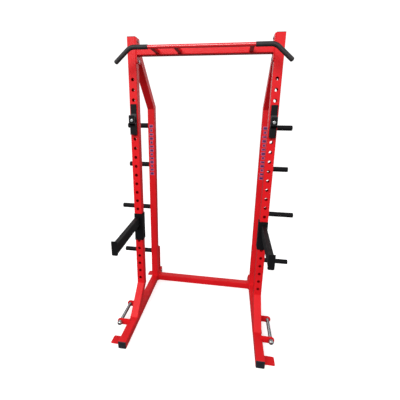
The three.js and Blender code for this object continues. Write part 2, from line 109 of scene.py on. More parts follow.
FACE = -GAP                             # the rear face of what hangs on the front uprights
PIN_RADIUS, LONG_PIN, SHORT_PIN = 12.5, TUBE + 15, 14
CUP_PINS, ARM_PINS = (6, 4), (16, 18)   # the holes of the long pin and of the short one
CUP_X = (CENTRE_X - 25, CENTRE_X + 25)
CUP_PLATE, CUP_FLOOR, CUP_REACH, LIP_TOP = (1758, 2008), (1838, 1850), 62, 1916
CUP_BOX, CUP_BOX_WALL = 30, 4           # the box under the floor
CUP_BOLT_Z, CUP_BOLT_HOLE = 1876, 5.5
LINER_WALL, LINER_TOP = 5, 1930

ARM_PLATE = (770, 1035)
BEAM_X, BEAM_Y = (553.5, 593.5), (-532, FACE - PLATE - GAP)
BEAM_FRONT_Z, BEAM_ROOT_Z = (896, 980), (926, 1010)
BEAM_WALL, BEAM_CORNER = 3, 5
BEAM_SLOPE = (BEAM_ROOT_Z[0] - BEAM_FRONT_Z[0]) / (BEAM_Y[1] - BEAM_Y[0])
GUSSET, GUSSET_TIP = 60, 6              # its legs, and its height at the tip
END_PLATE_HALF, END_PLATE_Z = 24, (888, 1005)

DECAL_Z, DECAL_BARS = (1296, 1832), 13


def hole_z(number):
    return HOLE_TOP - HOLE_PITCH * (number - 1)


# ------------------------------------------------------------------ shapes
# A shape is (vertices, faces): one or more closed surfaces.
def join(*shapes):
    verts, faces = [], []
    for v, f in shapes:
        start = len(verts)
        verts += v
        faces += [[i + start for i in face] for face in f]
    return verts, faces


def mirrored(shape):
    verts, faces = shape
    return [(-x, y, z) for x, y, z in verts], [face[::-1] for face in faces]


def moved(shape, x, y, z):
    return [(a + x, b + y, c + z) for a, b, c in shape[0]], shape[1]


def turned(shape, way):
    """Tips a +Z shape over so that it faces along way * Y."""
    return [(x, way * z, -way * y) for x, y, z in shape[0]], shape[1]


def on_axis(axis, along, a, b):
    """A point from its place along an axis and its two other coordinates, in X, Y, Z order."""
    return {"x": (along, a, b), "y": (a, along, b), "z": (a, b, along)}[axis]


def outline_at(axis, along, outline):
    return [on_axis(axis, along, a, b) for a, b in outline]


def to_mesh(shape, scale=1.0, shift=0.0):
    verts, faces = shape
    mesh = bpy.data.meshes.new("shape")
    mesh.from_pydata([(x * scale, y * scale + shift, z * scale) for x, y, z in verts], [], faces)
    bm = bmesh.new()
    bm.from_mesh(mesh)
    bmesh.ops.recalc_face_normals(bm, faces=bm.faces)
    bm.to_mesh(mesh)
    bm.free()
    return mesh


def with_modifier(shape, kind, tool=None, **settings):
    """The shape after one modifier. tool is the shape that a Boolean cuts with."""
    made = []
    for s in (shape, tool):
        if s:
            made.append(bpy.data.objects.new("temporary", to_mesh(s)))
            bpy.context.scene.collection.objects.link(made[-1])
    modifier = made[0].modifiers.new("m", kind)
    for key, value in settings.items():
        setattr(modifier, key, value)
    if tool:
        modifier.object = made[1]
    graph = bpy.context.evaluated_depsgraph_get()
    mesh = bpy.data.meshes.new_from_object(made[0].evaluated_get(graph), depsgraph=graph)
    result = [tuple(v.co) for v in mesh.vertices], [list(p.vertices) for p in mesh.polygons]
    for o in made:
        bpy.data.objects.remove(o)
    bpy.data.meshes.remove(mesh)
    return result


def eased(shape, width=1.0, segments=2):
    """Rounds every sharp edge."""
    return with_modifier(shape, "BEVEL", width=width, segments=segments, limit_method="ANGLE",
                         angle_limit=math.radians(35), use_clamp_overlap=True)


def cut(shape, tool):
    return with_modifier(shape, "BOOLEAN", tool, operation="DIFFERENCE", solver="EXACT")


def arc(centre, radius, start, end, steps):
    """Points on a circle, from one angle in degrees to another."""
    angles = [math.radians(start + (end - start) * k / steps) for k in range(steps + 1)]
    return [(centre[0] + radius * math.cos(t), centre[1] + radius * math.sin(t)) for t in angles]


def circle(centre, radius, n):
    return arc(centre, radius, 0, 360 * (n - 1) / n, n - 1)


def rounded_outline(points, radii, steps=5):
    """A closed outline whose corners are arcs. radii is one radius, or one for each corner."""
    if not isinstance(radii, (list, tuple)):
        radii = [radii] * len(points)
    outline = []
    for i, radius in enumerate(radii):
        before, here, after = (Vector(points[j % len(points)]) for j in (i - 1, i, i + 1))
        if radius <= 0:
            outline.append(tuple(here))
            continue
        a, b = (before - here).normalized(), (after - here).normalized()
        half = a.angle(b) / 2
        centre = here + (a + b).normalized() * radius / math.sin(half)
        start = here + a * radius / math.tan(half) - centre
        end = here + b * radius / math.tan(half) - centre
        turn = -start.angle_signed(end)
        for k in range(steps + 1):
            c, s = math.cos(turn * k / steps), math.sin(turn * k / steps)
            x, y = start.x * c - start.y * s, start.x * s + start.y * c
            outline.append((centre.x + x, centre.y + y))
    return outline


def rectangle(a, b, radius=0.0, steps=5):
    corners = [(a[0], b[0]), (a[1], b[0]), (a[1], b[1]), (a[0], b[1])]
    return rounded_outline(corners, radius, steps)


def band(a, b, n):
    """Faces between two rings of n vertices that start at vertex a and at vertex b."""
    return [[a + j, a + (j + 1) % n, b + (j + 1) % n, b + j] for j in range(n)]


def skin(rows, n, start=0, loop=False):
    """Faces between rows that are rings of n vertices. With loop, the last row joins the first."""
    faces = []
    for i in range(rows if loop else rows - 1):
        faces += band(start + i * n, start + (i + 1) % rows * n, n)
    return faces


def ends(rows, n):
    """Faces that close the first and the last of the rows."""
    return [list(range(n))[::-1], [(rows - 1) * n + j for j in range(n)]]


def prism(outline, axis, low, high):
    n = len(outline)
    verts = outline_at(axis, low, outline) + outline_at(axis, high, outline)
    return verts, skin(2, n) + ends(2, n)


def block(x, y, z, ease=1.0):
    return eased(prism(rectangle(x, y), "z", *z), ease)


def lathe(profile, axis, centre, segments=32, ring=False):
    """Turns a profile of (radius, place along the axis) points. A ring is a closed profile that
    stays clear of the axis; any other profile is closed with flat ends."""
    verts = []
    for radius, along in profile:
        verts += outline_at(axis, along, circle(centre, radius, segments))
    faces = skin(len(profile), segments, loop=ring)
    return verts, faces if ring else faces + ends(len(profile), segments)


def drill(axis, radius, low, high, centre, segments=32):
    """A plain cylinder, to cut a hole with."""
    return lathe([(radius, low), (radius, high)], axis, centre, segments)


def rod(axis, radius, low, high, centre, chamfer=1.0, segments=32):
    """A round bar with rounded ends."""
    profile = []
    for end, sign in ((low, 1), (high, -1)):
        edge = [(radius - chamfer * (1 - math.sin(t)), end + sign * chamfer * (1 - math.cos(t)))
                for t in [math.pi / 8 * k for k in range(5)]]
        profile += edge[::sign]
    return lathe(profile, axis, centre, segments)


def swept(outlines, path, across, end_normals=(None, None)):
    """A tube: its outer and inner outline of (u, v) points, carried along a path with mitred
    bends. u runs along the fixed direction across. end_normals are those of the end planes, where
    they aren't square to the path."""
    path = [Vector(p) for p in path]
    across = Vector(across)
    ways = [(b - a).normalized() for a, b in zip(path, path[1:])]
    normals = [end_normals[0] or ways[0]]
    normals += [(a + b).normalized() for a, b in zip(ways, ways[1:])]
    normals += [end_normals[1] or ways[-1]]
    verts = []
    for outline in outlines:
        for i, (point, normal) in enumerate(zip(path, normals)):
            way = ways[min(i, len(ways) - 1)]
            up = way.cross(across)
            for u, v in outline:
                q = point + across * u + up * v
                q -= way * ((q - point).dot(normal) / way.dot(normal))
                verts.append(tuple(q))
    n, rows = len(outlines[0]), len(path)
    faces = skin(rows, n) + skin(rows, n, rows * n)
    faces += band(0, rows * n, n) + band((rows - 1) * n, (2 * rows - 1) * n, n)
    return verts, faces


def tube_outlines(width=TUBE, height=TUBE, wall=WALL, corner=CORNER):
    outer = rectangle((-width / 2, width / 2), (-height / 2, height / 2), corner)
    w, h = width / 2 - wall, height / 2 - wall
    return [outer, rectangle((-w, w), (-h, h), corner - wall)]


def bead(path, radius=3.5, closed=True):
    """A weld: a thick line with the ripples that the weld pool leaves."""
    pitch, ripple, sides = 3.4, (1.0, 1.1, 0.86), 7
    points = [Vector(p) for p in path]
    if closed:
        points.append(points[0])
    lengths = [(b - a).length for a, b in zip(points, points[1:])]
    total = sum(lengths)
    count = max(6, round(total / pitch) * len(ripple))
    line, walked, i = [], 0.0, 0
    for k in range(count if closed else count + 1):
        at = total * k / count
        while i < len(lengths) - 1 and walked + lengths[i] < at:
            walked += lengths[i]
            i += 1
        line.append(points[i].lerp(points[i + 1], (at - walked) / max(lengths[i], 1e-9)))
    verts = []
    for k, point in enumerate(line):
        if closed:
            way = line[(k + 1) % len(line)] - line[k - 1]
        else:
            way = line[min(k + 1, len(line) - 1)] - line[max(k - 1, 0)]
        way.normalize()
        side = way.orthogonal() if k == 0 else side - way * side.dot(way)
        side.normalize()
        up = way.cross(side)
        size = radius * ripple[k % len(ripple)]
        verts += [tuple(point + side * a + up * b) for a, b in circle((0, 0), size, sides)]
    faces = skin(len(line), sides, loop=closed)
    return verts, faces if closed else faces + ends(len(line), sides)


def seam(path, radius=3.5):
    return bead(path, radius, closed=False)


# ------------------------------------------------------------------ fasteners
def hexagon(axis, across_flats, low, high, centre, chamfered, bore=0.0):
    """A hexagon nut or head. chamfered says which ends have the round chamfer: 'low', 'high'."""
    segments = 48
    flat = across_flats / 2
    steps = [2 * math.pi * k / segments for k in range(segments)]
    radii = [flat / math.cos(t % (math.pi / 3) - math.pi / 6) for t in steps]
    slope = math.tan(math.radians(30))
    inner = flat * 0.97
    rows = []
    for end, sign, name in ((low, 1, "low"), (high, -1, "high")):
        depth = sign * slope if name in chamfered else 0
        edge = [(r, end + depth * (r - inner)) for r in radii]
        rows += [[(bore, end)] * segments, [(inner, end)] * segments, edge][::sign]
    verts = []
    for row in rows:
        for t, (r, along) in zip(steps, row):
            a, b = centre[0] + r * math.cos(t), centre[1] + r * math.sin(t)
            verts.append(on_axis(axis, along, a, b))
    shape = verts, skin(len(rows), segments, loop=bool(bore))
    return shape if bore else welded_centres(shape)


def welded_centres(shape):
    """Merges the vertices that lie on top of each other, and drops the faces this collapses."""
    index, verts, to = {}, [], []
    for v in shape[0]:
        key = tuple(round(c, 4) for c in v)
        if key not in index:
            index[key] = len(verts)
            verts.append(v)
        to.append(index[key])
    faces = []
    for face in shape[1]:
        f = []
        for i in face:
            if not f or to[i] != f[-1]:
                f.append(to[i])
        if f[0] == f[-1]:
            f.pop()
        if len(f) > 2:
            faces.append(f)
    return verts, faces


def flange_bolt(at):
    """Head, washer and shank of a bolt that points at +X."""
    face = INNER_X - 2 * GAP - PLATE
    radius = BOLT_FLATS / math.sqrt(3)
    inner, outer = radius - 4, radius + 1.4
    head = hexagon("x", BOLT_FLATS, face - BOLT_HEAD, face - WASHER, at, ("low",))
    profile = [(inner, face - WASHER), (outer, face - WASHER), (outer, face), (inner, face)]
    washer = eased(lathe(profile, "x", at, 40, ring=True), 0.5)
    shank = rod("x", BOLT_RADIUS, face - 2, INNER_X + 15, at, 1.5, 24)
    return join(head, washer, shank)


def thread(radius, depth, pitch, low, high, centre, segments=22):
    """A threaded rod along Y. The rows of its grid follow the helix, so the crests are clean."""
    heights = (0.0, 0.75, 1.0, 0.75)
    per_turn = len(heights)
    rows = int((high - low) / pitch) * per_turn - per_turn
    verts = []
    for i in range(rows + 1):
        around = circle(centre, radius - depth + depth * heights[i % per_turn], segments)
        for k, (x, z) in enumerate(around):
            verts.append((x, low + pitch * (i / per_turn + k / segments), z))
    faces = []
    for i in range(rows):
        for k in range(segments - 1):
            a = i * segments + k
            faces.append([a, a + 1, a + 1 + segments, a + segments])
    for i in range(rows - per_turn):
        a, b = i * segments + segments - 1, (i + per_turn) * segments
        faces.append([a, b, b + segments, a + segments])
    first = list(range(segments)) + [i * segments for i in range(per_turn, 0, -1)]
    top = rows * segments
    last = [top + k for k in range(segments)]
    last += [(rows - i) * segments + segments - 1 for i in range(1, per_turn + 1)]
    for loop, y in ((first, low), (last, low + pitch * (rows / per_turn + 1))):
        verts.append((centre[0], y, centre[1]))
        faces += [[loop[j], loop[(j + 1) % len(loop)], len(verts) - 1] for j in range(len(loop))]
    return verts, faces


# ------------------------------------------------------------------ materials
def shader(name, metallic=0.0, specular=0.5):
    material = bpy.data.materials.new(name)
    material.use_nodes = True
    nodes, links = material.node_tree.nodes, material.node_tree.links
    bsdf = nodes["Principled BSDF"]
    bsdf.inputs["Metallic"].default_value = metallic
    bsdf.inputs["Specular IOR Level"].default_value = specular
    place = nodes.new("ShaderNodeTexCoord").outputs["Object"]
    return material, nodes, links, bsdf, place


def noise(nodes, links, place, scale, detail=3.0, roughness=0.5, stretch=None):
    node = nodes.new("ShaderNodeTexNoise")
    node.inputs["Scale"].default_value = scale
    node.inputs["Detail"].default_value = detail
    node.inputs["Roughness"].default_value = roughness
    if stretch:
        mapping = nodes.new("ShaderNodeMapping")
        mapping.inputs["Scale"].default_value = stretch
        links.new(place, mapping.inputs["Vector"])
        place = mapping.outputs["Vector"]
    links.new(place, node.inputs["Vector"])
    return node.outputs["Fac"]


def spread(nodes, links, value, low, high, start=0.3, end=0.7):
    """Maps a value from the stretch start to end onto the stretch low to high."""
    node = nodes.new("ShaderNodeMapRange")
    for key, number in (("From Min", start), ("From Max", end), ("To Min", low), ("To Max", high)):
        node.inputs[key].default_value = number
    links.new(value, node.inputs["Value"])
    return node.outputs["Result"]


def mix(nodes, links, factor, a, b):
    """Mixes two colours, each a constant or a socket."""
    node = nodes.new("ShaderNodeMix")
    node.data_type = "RGBA"
    links.new(factor, node.inputs["Factor"])
    for key, value in (("A", a), ("B", b)):
        socket = [s for s in node.inputs if s.name == key and s.type == "RGBA"][0]
        if isinstance(value, tuple):
            socket.default_value = (*value, 1.0)
        else:
            links.new(value, socket)
    return [s for s in node.outputs if s.type == "RGBA"][0]


def bumps(nodes, links, bsdf, *layers):
    """Stacks bump layers of (height, strength, distance in metres)."""
    normal = None
    for height, strength, distance in layers:
        node = nodes.new("ShaderNodeBump")
        node.inputs["Strength"].default_value = strength
        node.inputs["Distance"].default_value = distance
        links.new(height, node.inputs["Height"])
        if normal:
            links.new(normal, node.inputs["Normal"])
        normal = node.outputs["Normal"]
    links.new(normal, bsdf.inputs["Normal"])


def paint(name, colour, deeper, rough, texture, specular, coat):
    """Powder coat: orange peel, a fine grain, slow changes of tone and a few dull scuffs."""
    material, nodes, links, bsdf, place = shader(name, specular=specular)
    bsdf.inputs["Coat Weight"].default_value = coat
    bsdf.inputs["Coat Roughness"].default_value = 0.12
    tone = spread(nodes, links, noise(nodes, links, place, 5, 4), 0, 1)
    streaks = noise(nodes, links, place, 30, 4, 0.6, (1, 1, 0.25))
    scuff = spread(nodes, links, streaks, 0, 0.2, 0.68, 0.78)
    toned = mix(nodes, links, tone, colour, deeper)
    worn = tuple(0.55 * c + 0.05 for c in colour)
    links.new(mix(nodes, links, scuff, toned, worn), bsdf.inputs["Base Color"])
    dull = nodes.new("ShaderNodeMath")
    dull.operation = "ADD"
    cloud = noise(nodes, links, place, 45, 3)
    links.new(spread(nodes, links, cloud, rough - 0.05, rough + 0.07), dull.inputs[0])
    links.new(scuff, dull.inputs[1])
    links.new(dull.outputs["Value"], bsdf.inputs["Roughness"])
    peel = noise(nodes, links, place, 260, 2)
    grain = noise(nodes, links, place, 1400, 2)
    bumps(nodes, links, bsdf, (peel, texture, 0.0006), (grain, texture * 0.6, 0.0002))
    return material


def moulded(name, colour, rough, grain_scale, grain_depth):
    """Plastic or rubber from a grained mould."""
    material, nodes, links, bsdf, place = shader(name, specular=0.4)
    tone = spread(nodes, links, noise(nodes, links, place, 30, 4), 0, 1)
    paler = tuple(c * 1.5 + 0.004 for c in colour)
    links.new(mix(nodes, links, tone, colour, paler), bsdf.inputs["Base Color"])
    cloud = noise(nodes, links, place, 90, 3)
    links.new(spread(nodes, links, cloud, rough - 0.07, rough + 0.07), bsdf.inputs["Roughness"])
    bumps(nodes, links, bsdf, (noise(nodes, links, place, grain_scale, 3), 0.5, grain_depth))
    return material


def zinc(name, deep, pale, stretch):
    """Zinc plate, whose fine grain is drawn out along Y by stretch."""
    material, nodes, links, bsdf, place = shader(name, metallic=1.0)
    tone = spread(nodes, links, noise(nodes, links, place, 120, 4), 0, 1)
    links.new(mix(nodes, links, tone, deep, pale), bsdf.inputs["Base Color"])
    brushed = noise(nodes, links, place, 500, 3, 0.6, stretch)
    links.new(spread(nodes, links, brushed, 0.16, 0.34), bsdf.inputs["Roughness"])
    bumps(nodes, links, bsdf, (brushed, 0.15, 0.0001))
    return material


RED = paint("red_powder_coat", (0.74, 0.011, 0.016), (0.66, 0.008, 0.012), 0.40, 0.08, 0.13, 0.03)
GLOSS = paint("red_gloss", (0.74, 0.014, 0.020), (0.68, 0.010, 0.016), 0.20, 0.04, 0.9, 0.0)
BLACK = paint("black_powder_coat", (0.005, 0.005, 0.006), (0.008, 0.008, 0.009),
              0.45, 0.30, 0.10, 0.0)
PLASTIC = moulded("moulded_plastic", (0.010, 0.010, 0.014), 0.45, 900, 0.0002)
LINER = moulded("liner_plastic", (0.016, 0.016, 0.018), 0.38, 220, 0.0002)
RUBBER = moulded("grip_rubber", (0.013, 0.011, 0.012), 0.62, 700, 0.0006)
GREY_ZINC = zinc("grey_zinc", (0.15, 0.155, 0.16), (0.23, 0.23, 0.24), (1, 0.1, 1))
ZINC = zinc("bright_zinc", (0.40, 0.43, 0.43), (0.50, 0.52, 0.53), (1, 0.4, 1))
LILAC = moulded("decal_lilac", (0.40, 0.09, 0.18), 0.4, 300, 0.00005)
BLUE = moulded("decal_blue", (0.075, 0.010, 0.085), 0.4, 300, 0.00005)


def piece(name, shape, material, body="frame", nodes=None):
    """Makes the object that stands for some CAD nodes, or for none, and rides on a body."""
    mesh = to_mesh(shape, MM, ORIGIN_Y)
    mesh.name = name
    mesh.materials.append(material)
    mesh.shade_smooth()
    mesh.set_sharp_from_angle(angle=math.radians(36))
    o = bpy.data.objects.new(name, mesh)
    bpy.context.scene.collection.objects.link(o)
    weighted = o.modifiers.new("weighted_normals", "WEIGHTED_NORMAL")
    weighted.keep_sharp = True
    weighted.weight = 80
    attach(o, body)
    if nodes:
        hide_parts(*nodes)


def pair(name, shape, material, body="frame", trim=False):
    """The right-hand piece and its mirror image. trim is a piece that stands for no CAD node."""
    for side, s in (("right", shape), ("left", mirrored(shape))):
        where = body if body == "frame" else f"{body}_{side}"
        piece(f"{name}_{side}_shell", s, material, where, None if trim else [f"{name}_{side}"])


# ------------------------------------------------------------------ frame
def front_upright():
    middle = TUBE / 2
    bend = FOOT_BEND_Z - middle * MITRE
    drop = bend - TUBE - GAP
    path = [(CENTRE_X, middle, RACK_HEIGHT - CAP_PROUD), (CENTRE_X, middle, bend),
            (CENTRE_X, middle - drop, bend - drop)]
    tube = swept(tube_outlines(), path, (1, 0, 0), (None, Vector((0, 0, -1))))
    tube = eased(tube, 0.6, 1)
    edge = [(HOLE_RADIUS + 1.7, -1.5), (HOLE_RADIUS + 0.9, -0.1), (HOLE_RADIUS, 1)]
    profile = edge + [(r, TUBE - y) for r, y in edge[::-1]]
    cutters = [lathe(profile, "y", (CENTRE_X, hole_z(n + 1))) for n in range(HOLE_COUNT)]
    tube = cut(tube, join(*cutters))
    mitre = [(x, y, FOOT_BEND_Z - y * MITRE)
             for x, y in rectangle((INNER_X, OUTER_X), (0, TUBE), CORNER)]
    end = middle - drop
    foot = rectangle((INNER_X, OUTER_X), (end - DIAGONAL, end + DIAGONAL), 5)
    return join(tube, bead(mitre, 1.7), bead(outline_at("z", TUBE, foot), 4))


def rear_upright():
    middle = DEPTH + TUBE / 2
    bend = TOP_LINE - DIAGONAL - middle
    rise = middle - TUBE - GAP
    path = [(CENTRE_X, middle, TUBE + GAP), (CENTRE_X, middle, bend),
            (CENTRE_X, TUBE + GAP, bend + rise)]
    tube = swept(tube_outlines(), path, (1, 0, 0), (None, Vector((0, -1, 0))))
    tube = eased(tube, 0.6, 1)
    around = rectangle((INNER_X, OUTER_X), (DEPTH, DEPTH + TUBE), CORNER)
    mitre = [(x, y, bend + (y - middle) * MITRE) for x, y in around]
    foot = outline_at("z", TUBE + 1, around)
    high = TOP_LINE - TUBE
    top = rectangle((INNER_X, OUTER_X), (high - 2 * DIAGONAL, high), 5)
    return join(tube, bead(mitre, 1.7), bead(foot, 4), bead(outline_at("y", TUBE, top), 4))


def floor_tab(start):
    root, end, tip = OUTER_X - 4, start + TAB_LENGTH, OUTER_X + TAB_REACH
    corners = [(root, start), (tip, start), (tip, end), (root, end)]
    outline = rounded_outline(corners, [0, TAB_CORNER, TAB_CORNER, 0], 8)
    weld = seam([(OUTER_X + 0.5, start + 1, PLATE), (OUTER_X + 0.5, end - 1, PLATE)], 3)
    return join(eased(prism(outline, "z", 0, PLATE), 0.9), weld)


def lug(y):
    """An ear on the rail's outer side, lapping over its top, with a hole for the band rod."""
    lap, lap_z = OUTER_X - LUG_LAP, TUBE - 0.5
    outline = [(OUTER_X - 0.5, LUG_Z - LUG_RADIUS)]
    outline += arc((LUG_X, LUG_Z), LUG_RADIUS, -90, 90, 16)
    outline += [(lap, LUG_Z + LUG_RADIUS), (lap, lap_z), (OUTER_X - 4, lap_z),
                (OUTER_X - 0.5, TUBE - 4)]
    plate = prism(outline, "y", y - LUG_HALF, y + LUG_HALF)
    hole = drill("y", ROD_RADIUS + 0.5, y - 9, y + 9, (LUG_X, LUG_Z))
    shapes = [eased(cut(plate, hole), 0.9)]
    for side in (y - LUG_HALF, y + LUG_HALF):
        up = [(OUTER_X + 0.5, side, 36), (OUTER_X + 0.5, side, 64)]
        over = [(lap + 1, side, TUBE + 0.4), (OUTER_X - 5, side, TUBE + 0.4)]
        shapes += [seam(up, 3), seam(over, 2.6)]
    return join(*shapes)


def base_rail():
    path = [(CENTRE_X, RAIL[0], TUBE / 2), (CENTRE_X, RAIL[1], TUBE / 2)]
    tube = eased(swept(tube_outlines(), path, (1, 0, 0)), 0.6, 1)
    return join(tube, *[floor_tab(y) for y in TAB_STARTS], *[lug(y) for y in LUG_CENTRES])


def flange(y, z, corner_cut, bolts):
    corners = [(y[0], z[0]), (y[1], z[0]), (y[1], z[1] - corner_cut), (y[1] - corner_cut, z[1]),
               (y[0], z[1])]
    plate = prism(rounded_outline(corners, 3, 3), "x", INNER_X - GAP - PLATE, INNER_X - GAP)
    holes = [drill("x", BOLT_HOLE, INNER_X - 20, INNER_X + 5, at, 24) for at in bolts]
    return eased(cut(plate, join(*holes)), 0.9)


def crossmember(section, plate):
    y, z = section
    middle = (sum(y) / 2, sum(z) / 2)
    end = INNER_X - GAP - PLATE + 1
    tube = swept(tube_outlines(), [(-end, *middle), (end, *middle)], (0, 1, 0))
    weld_low = max(z[0], 3.5)           # the weld stays above the floor
    weld = bead(outline_at("x", end - 1, rectangle(y, (weld_low, z[1]), CORNER)), 3)
    return join(tube, plate, weld, mirrored(join(plate, weld)))


def plug_shape(proud, depth):
    """A square plug facing +Z at the origin: a domed head as wide as the tube, on an open skirt."""
    skirt, half = TUBE / 2 - WALL - GAP, TUBE / 2
    # half width, height and corner radius of each row
    rows = [(skirt - 2, -depth, 2), (skirt, -depth + 1.5, 3), (skirt, GAP, 3), (half - 0.4, GAP, 5),
            (half, GAP + 0.4, 5.5), (half - 0.3, proud * 0.5, 5.5), (half - 1.4, proud * 0.82, 6),
            (half - 3.5, proud * 0.97, 7), (half * 0.6, proud, 9)]
    outlines = [rectangle((-h, h), (-h, h), radius, 4) for h, _, radius in rows]
    n = len(outlines[0])
    verts = [(a, b, row[1]) for row, outline in zip(rows, outlines) for a, b in outline]
    inside = (3 - skirt, skirt - 3)
    hollow = prism(rectangle(inside, inside, 2, 3), "z", -depth - 2, -2)
    return cut((verts, skin(len(rows), n) + ends(len(rows), n)), hollow)


# ------------------------------------------------------------------ pull-up bar
def bar_path(start, inset):
    """Centre line of the bar's right end: straight, round the bend, and down to the tip."""
    slope = math.atan2(BAR_DROP, BAR_TIP_X - BAR_BEND_X)
    bend_start = BAR_BEND_X - BAR_BEND_RADIUS * math.tan(slope / 2)
    length = math.hypot(BAR_DROP, BAR_TIP_X - BAR_BEND_X) - inset
    bend = arc((bend_start, BAR_Z - BAR_BEND_RADIUS), BAR_BEND_RADIUS, 90,
               90 - math.degrees(slope), 8)
    tip = (BAR_BEND_X + length * math.cos(slope), BAR_Z - length * math.sin(slope))
    return outline_at("y", BAR_Y, [(start, BAR_Z), *bend, tip])


def round_bar(path, radii, segments=28):
    """A round bar along a path in an X-Z plane, with a radius at each point of it."""
    path = [Vector(p) for p in path]
    across = Vector((0, 1, 0))
    verts = []
    for i, (point, radius) in enumerate(zip(path, radii)):
        way = (path[min(i + 1, len(path) - 1)] - path[max(i - 1, 0)]).normalized()
        up = way.cross(across)
        verts += [tuple(point + across * a + up * b) for a, b in circle((0, 0), radius, segments)]
    return verts, skin(len(path), segments) + ends(len(path), segments)


def grip():
    """A grip with a rolled collar at its inner end and a domed tip."""
    first, *path = [Vector(p) for p in bar_path(GRIP_START_X, 0)]
    tip = path.pop()
    way = (tip - path[-1]).normalized()
    collar = [(0, 0.91), (0.6, 0.97), (1.8, 1), (7, 1), (7.6, 0.965), (8.8, 0.965), (9.4, 1)]
    radii = [share for _, share in collar] + [1] * len(path)
    path = [first + Vector((along, 0, 0)) for along, _ in collar] + path
    for back in (22, 12, 9, 6, 3, 1, 0.1):
        path.append(tip - way * back)
        past = max(0, GRIP_DOME - back) / GRIP_DOME
        radii.append(math.sqrt(1 - past ** 2))
    return round_bar(path, [GRIP_RADIUS * share for share in radii])


def standoff(x):
    wide, high = STANDOFF_HALF
    across, upright = (x - wide, x + wide), (BAR_Z - high, BAR_Z + high)
    body = block(across, (BAR_Y, -GAP), upright, 2.5)
    body = cut(body, drill("x", BAR_RADIUS + 0.4, x - 30, x + 30, (BAR_Y, BAR_Z), 48))
    weld = bead(outline_at("y", -1.2, rectangle(across, upright, 2.5, 3)), 2.4)
    round_the_bar = arc((BAR_Y, BAR_Z), BAR_RADIUS + 0.5, -60, 60, 16)
    return join(body, weld, *[seam(outline_at("x", side, round_the_bar), 2) for side in across])


# ------------------------------------------------------------------ pegs, holders and band rods
def weight_peg(z, length):
    """A tube with a groove near its end and a cap set a little into it."""
    outer, inner, start = PEG_RADIUS, PEG_BORE, OUTER_X + GAP
    end = start + length
    groove = [(outer, end - 7), (outer - 0.6, end - 6.4), (outer - 0.6, end - 5.4),
              (outer, end - 4.8)]
    rim = [(outer, end - 3), (24.4, end - 1.4), (22.8, end - 0.3), (20.5, end), (16, end)]
    cap = [(14.5, end - 0.8), (5, end - 0.8), (0.01, end - 0.8), (0.01, end - 4), (inner, end - 4)]
    profile = [(inner, start), (outer, start), *groove, *rim, *cap]
    return lathe(profile, "x", (DEPTH + TUBE / 2, z), 40, ring=True)


def bar_holder():
    outer, inner, low, top = HOLDER_RADIUS, HOLDER_BORE, TUBE + GAP, HOLDER_TOP
    profile = [(inner, low), (outer, low), (outer, top - 0.6), (outer - 0.6, top),
               (inner + 0.6, top), (inner, top - 0.6)]
    tube = lathe(profile, "z", HOLDER_CENTRE, 48, ring=True)
    return join(tube, bead(outline_at("z", low + 0.5, circle(HOLDER_CENTRE, outer + 0.5, 40)), 3))


def dome_nut():
    rear = LUG_CENTRES[1] - LUG_HALF - GAP
    centre = (LUG_X, LUG_Z)
    bore, front, seat = ROD_RADIUS + GAP, rear - DOME_NUT_LENGTH, rear - DOME_NUT_HEXAGON + 0.6
    body = hexagon("y", NUT_FLATS, rear - DOME_NUT_HEXAGON, rear, centre, ("low", "high"), bore)
    outside = [(19.9, seat), (19.9, front + 12), (19.2, front + 8.5), (17.2, front + 5.2),
               (13.4, front + 2.4), (8, front + 0.6), (0.9, front)]
    inside = [(0.9, front + 5), (bore, front + 6), (bore, seat)]
    return join(body, lathe(outside + inside, "y", centre, 40, ring=True))


def open_nut():
    front = LUG_CENTRES[0] + LUG_HALF + GAP
    return hexagon("y", NUT_FLATS, front, front + OPEN_NUT_LENGTH, (LUG_X, LUG_Z),
                   ("low", "high"), ROD_RADIUS + GAP)


# ------------------------------------------------------------------ J-cups
def pins(numbers):
    """The long and the short pin that hold a cup or an arm in holes of the upright."""
    shapes = [rod("y", PIN_RADIUS, FACE - 2, reach, (CENTRE_X, hole_z(number)), 2.5)
              for number, reach in zip(numbers, (LONG_PIN, SHORT_PIN))]
    return join(*shapes)


def jcup_body():
    left, right = CUP_X
    low, high = CUP_FLOOR
    front, lip_rear, lip_front = FACE - PLATE, PLATE - CUP_REACH, -CUP_REACH
    back = eased(prism(rectangle(CUP_X, CUP_PLATE, 4, 4), "y", front, FACE))
    floor = block(CUP_X, (lip_front, FACE - 2), CUP_FLOOR)
    corners = [(left, low + 0.5), (right, low + 0.5), (right, LIP_TOP), (left, LIP_TOP)]
    lip = eased(prism(rounded_outline(corners, [0, 0, 5, 5]), "y", lip_front, lip_rear))
    hole = drill("y", CUP_BOLT_HOLE, lip_front - 10, lip_rear + 10, (CENTRE_X, CUP_BOLT_Z), 24)
    lip = cut(lip, hole)
    bottom, box_front, wall = CUP_PLATE[0], front - CUP_BOX, CUP_BOX_WALL
    box = block(CUP_X, (box_front, FACE - 2), (bottom, low + 1), 1.5)
    inside = rectangle((left + wall, right - wall), (box_front + wall, front))
    box = cut(box, prism(inside, "z", bottom - 8, low - 4))
    welds = [seam([(left + 1, front, high + 0.5), (right - 1, front, high + 0.5)], 2.2),
             seam([(left + 4, box_front - 0.5, low - 0.5), (right - 4, box_front - 0.5, low - 0.5)],
                  2.4)]
    welds += [seam([(x, front - 1, bottom + 3), (x, front - 1, low - 2)], 1.6)
              for x in (left - 0.2, right + 0.2)]
    corner_y, corner_z = lip_rear + 0.4, high + 0.4
    welds.append(seam([(left + 6, corner_y, corner_z), (right - 6, corner_y, corner_z)], 1.6))
    return join(back, floor, lip, box, *welds, pins(CUP_PINS))


